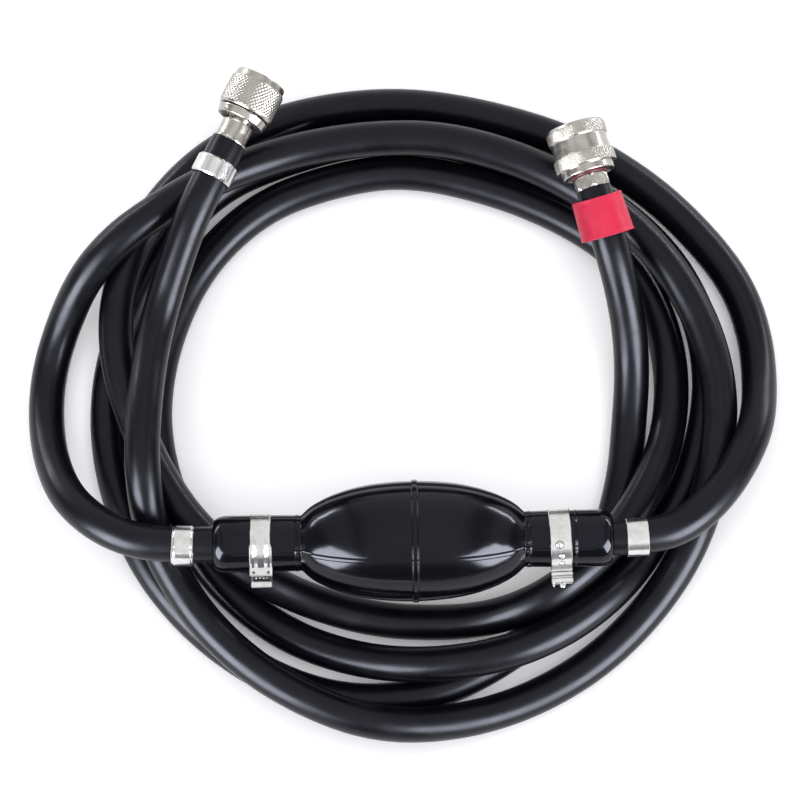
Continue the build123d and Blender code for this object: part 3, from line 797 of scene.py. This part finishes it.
def make_bulb(material):
    """The moulded bulb: its outside and its hollow, as one closed skin."""
    stations = bulb_stations()
    angles = bulb_angles()
    x, turn = np.meshgrid(stations, angles, indexing="ij")
    skins = []
    for along, radius in ((x, outer_radius(x, turn)), (x[::-1], inner_radius(x[::-1]))):
        skins.append(np.stack([along, radius * np.cos(turn), radius * np.sin(turn)], axis=-1))
    points = np.concatenate(skins).reshape(-1, 3)
    faces = [face[::-1] for face in grid_faces(2 * len(stations), len(angles))]
    bulb = finish_piece("bulb_skin", points, faces, material, crease=50)
    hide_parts("squeeze_bulb")


# ---- bands on the bulb

INLET_BAND_X = -58.4
OUTLET_BAND_X = 56.4
OUTLET_BAND_TILT = 2.5
BAND_SECTION = [(11.04, -3.85), (11.04, 3.85), (11.46, 3.85), (11.46, -3.85)]
STRAP_RADIUS = 11.7
STRAP_THICKNESS = 0.42
STRAP_START = 150
# The flat plate at the end of the inlet band's strap.
PLATE_START = Vector((9.76, 6.46))
PLATE_END = Vector((12.95, 5.35))
PLATE_LIP = PLATE_END + Vector((0.3, -0.7))
# The pits of the inlet strap: place across it and half the length.
PITS = [(-3.0, 0.5), (0, 1.25), (3.0, 0.5)]
PIT_TURN = 43
# The domes of the outlet strap: turn in degrees, place across it and radius.
DOMES = [(70.5, -0.6, 1.35), (46.7, 0.1, 1.15), (28.4, 0.0, 0.95)]


def across_axis(x, tilt=0.0):
    """A place whose Z runs along the bulb, X along -Y and Y along +Z, turned by a small tilt."""
    turn = Matrix(((0, 0, 1), (-1, 0, 0), (0, 1, 0))).to_4x4()
    return Matrix.Translation((x, 0, 0)) @ Matrix.Rotation(math.radians(tilt), 4, "Z") @ turn


def make_grooved_strap(place, steel):
    """The inlet band's outer strap: two pressed grooves, then a wider flat plate with a lip."""
    path = lifted_arc(STRAP_RADIUS, STRAP_START, 35, 2.0)
    path += rounded_path([path[-1], PLATE_START, PLATE_END, PLATE_LIP], 0.5)[1:]
    top = STRAP_RADIUS * math.radians(STRAP_START - 90)
    grooves_end = STRAP_RADIUS * math.radians(STRAP_START - 50)

    def pressed(s, x):
        grow = float(smooth_step((s - top + 2) / 5))
        fade = float(smooth_step((grooves_end - s) / 2.5))
        groove = math.exp(-((abs(x) - 2.3) / 0.42) ** 2)
        return -0.32 * grow * fade * groove

    def wide(s):
        return 7.7 + 0.9 * float(smooth_step((s - top - 1.5) / 1.5))

    strap("inlet_collar_band_strap", path, wide, STRAP_THICKNESS, place, steel, 40, relief=pressed)


def make_plate_holes(place, dark):
    """The two round holes in the plate of the inlet strap, drawn as dark discs of painted shade."""
    slope = math.atan2(PLATE_END.y - PLATE_START.y, PLATE_END.x - PLATE_START.x)
    hole = [(0.03, 0.0), (0.6, 0.0), (0.6, 0.24), (0.03, 0.24)]
    for i, side in enumerate((-1, 1)):
        middle = Matrix.Translation((11.9, 5.72, 2.8 * side))
        outward = place @ middle @ Matrix.Rotation(slope + math.pi / 2, 4, "Z") @ Z_TO_X
        # Each hole is a dark disc: painted shade where the plate is open.
        lathe(f"inlet_collar_band_hole_{i + 1}", hole, outward, dark, around=24)


def make_pits(place, dark):
    """The three punched pits in a row across the inlet strap, drawn as dark bars of painted shade."""
    for i, (side, half) in enumerate(PITS):
        pit = soften([(-0.2, -half), (0.2, -half), (0.2, half), (-0.2, half)], 0.15)
        spot = place @ Matrix.Translation((0, 0, side)) @ Matrix.Rotation(math.radians(PIT_TURN), 4, "Z")
        spot = spot @ Matrix.Rotation(math.radians(90), 4, "X")
        # Each pit is a dark bar on the strap: painted shade of the recess.
        bar(f"inlet_collar_band_pit_{i + 1}", pit, (STRAP_RADIUS + 0.1, 0, 0), 4.2, spot, dark)


def make_inlet_ear(place, steel, dark):
    """The inlet band's closing ear: a folded lug, a dark block of painted shade in the hollow in it, and four
    teeth.
    """
    fold = rounded_path([
        (10.2, -4.9), (12.2, -4.3), (14.5, -4.0), (14.7, 0.3), (16.75, 0.15), (16.9, -0.9)], 0.4)
    ear = strap("inlet_collar_band_lug", fold, 8.0, 0.45, place, steel, 12)
    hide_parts("inlet_collar_band_ear")
    hollow = soften([(-0.95, -1.3), (0.95, -1.1), (0.95, 1.0), (-0.95, 1.0)], 0.3)
    # A dark block in the lug's hollow: painted shade.
    bar("inlet_collar_band_hollow", hollow, (13.2, -2.3, 0), 7.4, place, dark)
    tooth = soften([(-0.35, -0.35), (0.35, -0.35), (0.25, 0.35), (-0.25, 0.35)], 0.1)
    for i in range(4):
        bar(f"inlet_collar_band_tooth_{i + 1}", tooth, (13.2, -0.9, -2.1 + 1.4 * i), 0.45, place, steel)


def make_inlet_collar_band(steel, dark):
    """The stainless band on the inlet collar, with its strap and its ear."""
    place = across_axis(INLET_BAND_X)
    section = soften(BAND_SECTION, 0.15)
    ring = lathe("inlet_collar_band_ring", section, place, steel, around=180)
    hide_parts("inlet_collar_band")
    make_grooved_strap(place, steel)
    make_plate_holes(place, dark)
    make_pits(place, dark)
    make_inlet_ear(place, steel, dark)


def make_domes(place, steel, dark):
    """The three pressed domes of the outlet strap, each with a dark rim of painted shade round its foot."""
    for i, (turned, side, size) in enumerate(DOMES):
        spot = place @ Matrix.Translation((0, 0, side)) @ Matrix.Rotation(math.radians(turned), 4, "Z")
        outward = spot @ Z_TO_X
        dome = [
            (0.03, 11.6), (size, 11.6), (size, 11.95), (0.85 * size, 12.15), (0.5 * size, 12.32),
            (0.03, 12.38)]
        lathe(f"outlet_collar_band_dome_{i + 1}", dome, outward, steel, around=40)
        # A dark ring round each dome's foot: painted shade in the crease.
        rim = [(size, 11.6), (size + 0.3, 11.6), (size + 0.3, 11.94), (size, 11.94)]
        lathe(f"outlet_collar_band_rim_{i + 1}", rim, outward, dark, around=40)


def make_outlet_buckle(place, steel):
    """The outlet band's two-step buckle, with its screw and nub."""
    fold = rounded_path([(9.6, -5.8), (12.2, -3.0), (12.6, -1.2), (17.2, -1.3), (17.4, -2.4)], 0.6)
    buckle = strap("outlet_collar_band_buckle", fold, 8.0, 0.5, place, steel, 12)
    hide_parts("outlet_collar_band_ear")
    first = soften([(-0.8, -1.6), (0.8, -1.6), (0.8, 0.9), (-0.8, 0.9)], 0.55, 5)
    second = soften([(-1.05, -1.5), (1.05, -1.5), (1.05, 0.7), (-1.05, 0.7)], 0.7, 5)
    bar("outlet_collar_band_bar_1", first, (13.75, 0.55, 0), 8.2, place, steel)
    bar("outlet_collar_band_bar_2", second, (16.25, 0.35, 0), 8.2, place, steel)
    screw = [(0.05, 17.5), (0.95, 17.5), (1.1, 17.9), (1.1, 18.7), (0.75, 19.2), (0.05, 19.2)]
    lathe("outlet_collar_band_screw", soften(screw, 0.15), place @ Z_TO_X, steel, around=32)
    side = place @ Matrix.Translation((0, -0.4, -3.3)) @ Z_TO_X
    nub = [(0.05, 17.2), (0.45, 17.2), (0.5, 18.3), (0.05, 18.4)]
    lathe("outlet_collar_band_nub", soften(nub, 0.1), side, steel, around=24)


def make_outlet_collar_band(steel, dark):
    """The stainless band on the outlet collar, with its strap and its buckle."""
    place = across_axis(OUTLET_BAND_X, OUTLET_BAND_TILT)
    section = soften(BAND_SECTION, 0.15)
    ring = lathe("outlet_collar_band_ring", section, place, steel, around=180)
    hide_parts("outlet_collar_band")
    over = lifted_arc(STRAP_RADIUS, STRAP_START, 12, 2.0)
    path = over + rounded_path([over[-1], (12.0, 1.4), (12.7, 1.2)], 0.4)[1:]
    strap("outlet_collar_band_strap", path, 8.1, STRAP_THICKNESS, place, steel, 14)
    make_domes(place, steel, dark)
    make_outlet_buckle(place, steel)


# ---- bands on the hoses

HOSE_BAND_BORE = 7.05


def rolled_edges(x_edge, height):
    """Relief of a band whose two edges are rolled up."""
    def relief(s, x):
        return height * float(smooth_step((abs(x) - x_edge) / 0.5))
    return relief


def wrapped_band(name, node, place, material, width, thickness, overlap, start, relief=None, rise=None):
    """A band wrapped round a hose, whose outer end rises over its inner end and lies on it."""
    rise = rise or thickness * 1.05
    base = HOSE_BAND_BORE + thickness / 2
    full = start + 360
    path = arc(base, start, full - 14, 4)
    path += arc(base, full - 13, full + 2, 2, grow=rise)
    path += arc(base + rise, full + 4, full + overlap, 4)
    path = [(x, -y) for x, y in path]
    band = strap(name, path, width, thickness, place, material, 22, relief=relief)
    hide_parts(node)
    return band


def make_hose_bands(steel):
    """The small bands on the hose ends at the bulb."""
    wrapped_band("inlet_hose_clamp", "inlet_hose_band", across_axis(-88.5, -2.5), steel, width=8.5,
                 thickness=0.55, overlap=150, start=-60, relief=rolled_edges(3.1, 0.4))
    wrapped_band("outlet_hose_clamp", "outlet_hose_band", across_axis(86.3, 2.0), steel, width=8.4,
                 thickness=0.4, overlap=60, start=95)


# ---- fittings
# Outlines here are (radius, height) in millimetres, with the height from the hose's end outward.

BARBS = [(2.6, -14), (3.2, -14), (3.9, -10), (3.6, -9.9), (3.9, -6), (3.6, -5.9), (3.9, -1.5)]
NUT_KNURL = (13.9, 25.1)
FLATS_HALF = 6.45
HEX_CORNER = 7.3
# How far the red sleeve's upper side has slipped back, for each millimetre of height.
GRIP_SLIP = 0.2


def make_stem(place, plate):
    """The swivel's smooth stem, with its barbs in the hose and its flange in the nut."""
    outline = soften(BARBS + [
        (3.7, 0.0), (6.6, 0.0), (6.8, 0.4), (6.8, 0.9), (6.3, 1.2), (6.2, 4.5), (6.3, 7.7), (6.1, 8.2),
        (4.8, 8.3), (4.8, 15.6), (7.0, 15.6), (7.0, 17.4), (2.6, 17.4)], 0.25)
    stem = lathe("swivel_stem", outline, place, plate)
    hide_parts("swivel_tail")
    return stem


def make_back_ring(place, plate):
    """The smooth ring behind the nut."""
    outline = soften([
        (4.9, 9.3), (9.3, 9.3), (9.7, 9.6), (10.0, 11.2), (10.25, 12.2), (10.05, 12.6), (9.6, 12.7),
        (4.9, 12.7)], 0.25)
    ring = lathe("swivel_back_ring", outline, place, plate)
    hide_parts("swivel_thrust_ring")
    return ring


def make_nut(place, plate):
    """The knurled hand nut, open at its far end."""
    low, high = NUT_KNURL
    outline = [
        (5.1, 13.1), (10.3, 13.1), (10.6, 13.4), (10.85, low), (11.08, low + 0.4), (11.12, 19),
        (11.08, high - 0.3), (10.85, high), (10.5, high + 0.1), (10.4, high + 0.35), (10.2, 27.5),
        (10.0, 28.0), (9.6, 28.2), (8.4, 28.2), (7.6, 27.6), (7.5, 26.8), (7.5, 19.6), (7.98, 19.6),
        (7.98, 15.2), (5.1, 15.2)]
    outline = split_long(soften(outline, 0.12, 2), 0.22)
    knurl = diamond_knurl(low, high, least_radius=10.7, count=44, pitch=1.75)
    nut = lathe("swivel_knurled_nut", outline, place, plate, body="swivel_nut", around=528,
                relief=knurl, crease=60)
    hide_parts("swivel_nut")
    return nut


def make_inlet_end(place, plate, steel):
    """The swivel and the band behind it. Returns the pieces that are on the inlet hose."""
    pieces = [make_stem(place, plate), make_back_ring(place, plate), make_nut(place, plate)]
    seat = place @ Matrix.Translation((0, 0, -12.4))
    band = wrapped_band("inlet_end_clamp", "inlet_end_band", seat, steel, width=7.7, thickness=1.3,
                        overlap=40, start=200, rise=0.25)
    return pieces + [band, bpy.data.objects["swivel_face_seal"]]


def six_flats(radius, height, turn):
    """Relief that cuts the tail's collar to a hexagon with turned corners."""
    flat = FLATS_HALF / np.cos((turn + math.pi / 6) % (math.pi / 3) - math.pi / 6)
    edge = 0.55 * np.clip(1 - np.minimum(height - 0.1, 5.3 - height) / 0.7, 0, 1)
    return np.where((radius > 6.5) & (height < 5.3), np.minimum(flat, HEX_CORNER - edge) - radius, 0)


def make_hexagon(place, plate):
    """The coupler's hexagon and barbed tail."""
    outline = soften(BARBS + [
        (3.7, 0.2), (6.9, 0.2), (6.9, 5.2), (6.0, 5.4), (6.0, 8.0), (4.0, 8.0), (4.0, 3.0), (2.6, 3.0)], 0.15)
    hexagon = lathe("coupler_hex_tail", split_long(outline, 0.6), place, plate, around=180,
                    relief=six_flats, crease=30)
    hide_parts("coupler_tail")
    return hexagon


def make_coupler_sleeve(place, plate):
    """The pull-back sleeve with its two knurled bands and its lip."""
    outline = [
        (9.5, 6.1), (10.1, 6.1), (10.4, 6.4), (10.4, 9.0), (11.85, 9.05), (12.15, 9.35), (12.2, 9.7),
        (12.2, 13.6), (12.1, 13.95), (11.8, 14.2), (11.2, 14.25), (11.15, 17.4), (11.2, 20.55), (11.6, 20.6),
        (11.88, 20.9), (11.92, 21.3), (11.92, 24.6), (11.75, 25.1), (11.3, 25.9), (10.9, 26.2), (10.2, 26.2),
        (9.9, 25.6), (9.7, 25.0), (9.7, 20.5), (8.7, 20.4), (8.7, 15.0), (9.5, 15.0)]
    outline = split_long(soften(outline, 0.15, 2), 0.2)
    first = diamond_knurl(9.2, 14.1, least_radius=11.7, count=55, pitch=1.4)
    second = diamond_knurl(20.75, 25.2, least_radius=11.5, count=55, pitch=1.4)

    def both(radius, height, turn):
        return first(radius, height, turn) + second(radius, height, turn)

    sleeve = lathe("coupler_knurled_sleeve", outline, place, plate, body="coupler_sleeve",
                   around=660, relief=both, crease=60)
    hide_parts("coupler_sleeve")
    return sleeve


def make_red_sleeve(place, red):
    """The soft red sleeve over the hose end, slipped back a little on its upper side."""
    outline = soften([
        (7.15, -5.6), (7.15, -3.3), (10.0, -3.25), (10.15, -3.6), (10.05, -4.3), (10.3, -12), (10.5, -18.2),
        (10.7, -18.9), (10.6, -19.25), (8.4, -19.25), (8.3, -18.6), (8.3, -5.9)], 0.3, 4)

    def uneven(radius, height, turn):
        wave = 0.1 * np.sin(2 * turn + 0.6) + 0.07 * np.sin(3 * turn + height / 5)
        return np.where(radius > 9.5, wave * np.clip((-3.5 - height) / 8, 0, 1), 0)

    slipped = Matrix.Identity(4)
    slipped[2][1] = -GRIP_SLIP
    grip = lathe("red_grip_sleeve", split_long(outline, 0.8), place @ slipped, red, around=160,
                 relief=uneven)
    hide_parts("red_sleeve")
    return grip


def make_outlet_end(place, plate, steel, red, ring_red):
    """The coupler, the red sleeve and the band under it. Returns the pieces that are on the outlet hose."""
    pieces = [make_hexagon(place, plate), make_coupler_sleeve(place, plate)]
    pieces.append(make_red_sleeve(place, red))
    seat = place @ Matrix.Translation((0, 0, -11))
    pieces.append(wrapped_band("outlet_end_clamp", "outlet_end_band", seat, steel, width=8.0,
                               thickness=0.45, overlap=60, start=30))
    o_ring = frame["nodes"]["coupler_o_ring"].data
    o_ring.materials.clear()
    o_ring.materials.append(ring_red)
    inner = [
        "coupler_socket", "coupler_o_ring", "coupler_probe_seal", "coupler_snap_ring", "coupler_balls",
        "coupler_valve"]
    return pieces + [bpy.data.objects[name] for name in inner]


# ---- springs

INLET_VALVE_X = -68.5
OUTLET_VALVE_X = 49.8
TURN_STEPS = 36
WIRE_SIDES = 8


def coil_spring(name, node, place, material, radius, wire, turns, low, high):
    """A spring about the Z of place, between two heights."""
    steps = turns * TURN_STEPS
    rise = (high - low - 2 * wire) / (2 * math.pi * turns)
    points = []
    for i in range(steps + 1):
        angle = 2 * math.pi * turns * i / steps
        centre = Vector((radius * math.cos(angle), radius * math.sin(angle), low + wire + rise * angle))
        along = Vector((-radius * math.sin(angle), radius * math.cos(angle), rise)).normalized()
        out = Vector((math.cos(angle), math.sin(angle), 0))
        up = along.cross(out)
        for j in range(WIRE_SIDES):
            turn = 2 * math.pi * j / WIRE_SIDES
            points.append(centre + wire * (math.cos(turn) * out + math.sin(turn) * up))
    faces = grid_faces(steps + 1, WIRE_SIDES, close_rows=False)
    faces += [tuple(range(WIRE_SIDES))[::-1], tuple(range(steps * WIRE_SIDES, (steps + 1) * WIRE_SIDES))]
    spring = finish_piece(name, placed(points, place), faces, material)
    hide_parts(node)
    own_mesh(spring)
    return spring


def make_valve_springs(steel):
    """The light springs of the two check valves."""
    for name, face in (("inlet", INLET_VALVE_X), ("outlet", OUTLET_VALVE_X)):
        low = face + 1.8
        high = face + 11.2
        coil_spring(name + "_valve_coil", name + "_valve_spring", Z_TO_X, steel,
                    radius=3.0, wire=0.28, turns=5, low=low, high=high)


def make_coupler_springs(place, steel):
    """The springs of the coupler's shut-off poppet and of its sleeve."""
    valve = coil_spring("coupler_valve_coil", "coupler_valve_spring", place, steel,
                        radius=3.0, wire=0.3, turns=5, low=3.0, high=11.0)
    sleeve = coil_spring("coupler_sleeve_coil", "coupler_sleeve_spring", place, steel,
                         radius=8.8, wire=0.3, turns=4, low=8.4, high=15.0)
    return [valve, sleeve]


# ---- pieces kept from the frame

def paint_nodes(materials):
    """Gives each CAD node that stays in view its material."""
    slots = {row["node"]: row["material_slot"] for row in frame["record"]["subparts"]}
    for name, node in frame["nodes"].items():
        node.data.materials.clear()
        node.data.materials.append(materials[slots[name]])
        node.data.shade_smooth()
        node.data.set_sharp_from_angle(angle=math.radians(30))


# ---- build

make_camera()
make_surround()
make_lights()
make_floor()

rubber = hose_rubber()
inlet_hose = make_hose("inlet_hose", INLET_ROUTE, rubber)
outlet_hose = make_hose("outlet_hose", OUTLET_ROUTE, rubber)
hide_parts(*[f"inlet_hose_{i}" for i in range(1, 4)])
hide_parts(*[f"outlet_hose_{i}" for i in range(1, 7)])

finishes = {
    "bulb_rubber": bulb_rubber(),
    "hose_rubber": rubber,
    "stainless": stainless(),
    "nickel": nickel(),
    "brass": turned_brass(),
    "spring_steel": spring_steel(),
    "valve_plastic": valve_plastic(),
    "seal_rubber": seal_rubber(),
    "red_rubber": red_rubber(),
}
paint_nodes(finishes)
make_bulb(finishes["bulb_rubber"])
# The seal rubber also serves as painted shade: the dark holes, pits, hollow and dome rims of the bands.
make_inlet_collar_band(finishes["stainless"], finishes["seal_rubber"])
make_outlet_collar_band(finishes["stainless"], finishes["seal_rubber"])
make_hose_bands(finishes["stainless"])
make_valve_springs(finishes["spring_steel"])

inlet_tip = Vector(INLET_ROUTE[-1]) / MM
inlet_place = axis_place(inlet_tip, inlet_tip - Vector(INLET_ROUTE[-2]) / MM)
inlet_pieces = make_inlet_end(inlet_place, finishes["nickel"], finishes["stainless"])

outlet_tip = Vector(OUTLET_ROUTE[-1]) / MM
outlet_place = axis_place(outlet_tip, outlet_tip - Vector(OUTLET_ROUTE[-2]) / MM)
outlet_pieces = make_outlet_end(
    outlet_place, finishes["nickel"], finishes["stainless"], finishes["red_rubber"], red_ring())
outlet_pieces += make_coupler_springs(outlet_place, finishes["spring_steel"])

gather_gloss_takers()
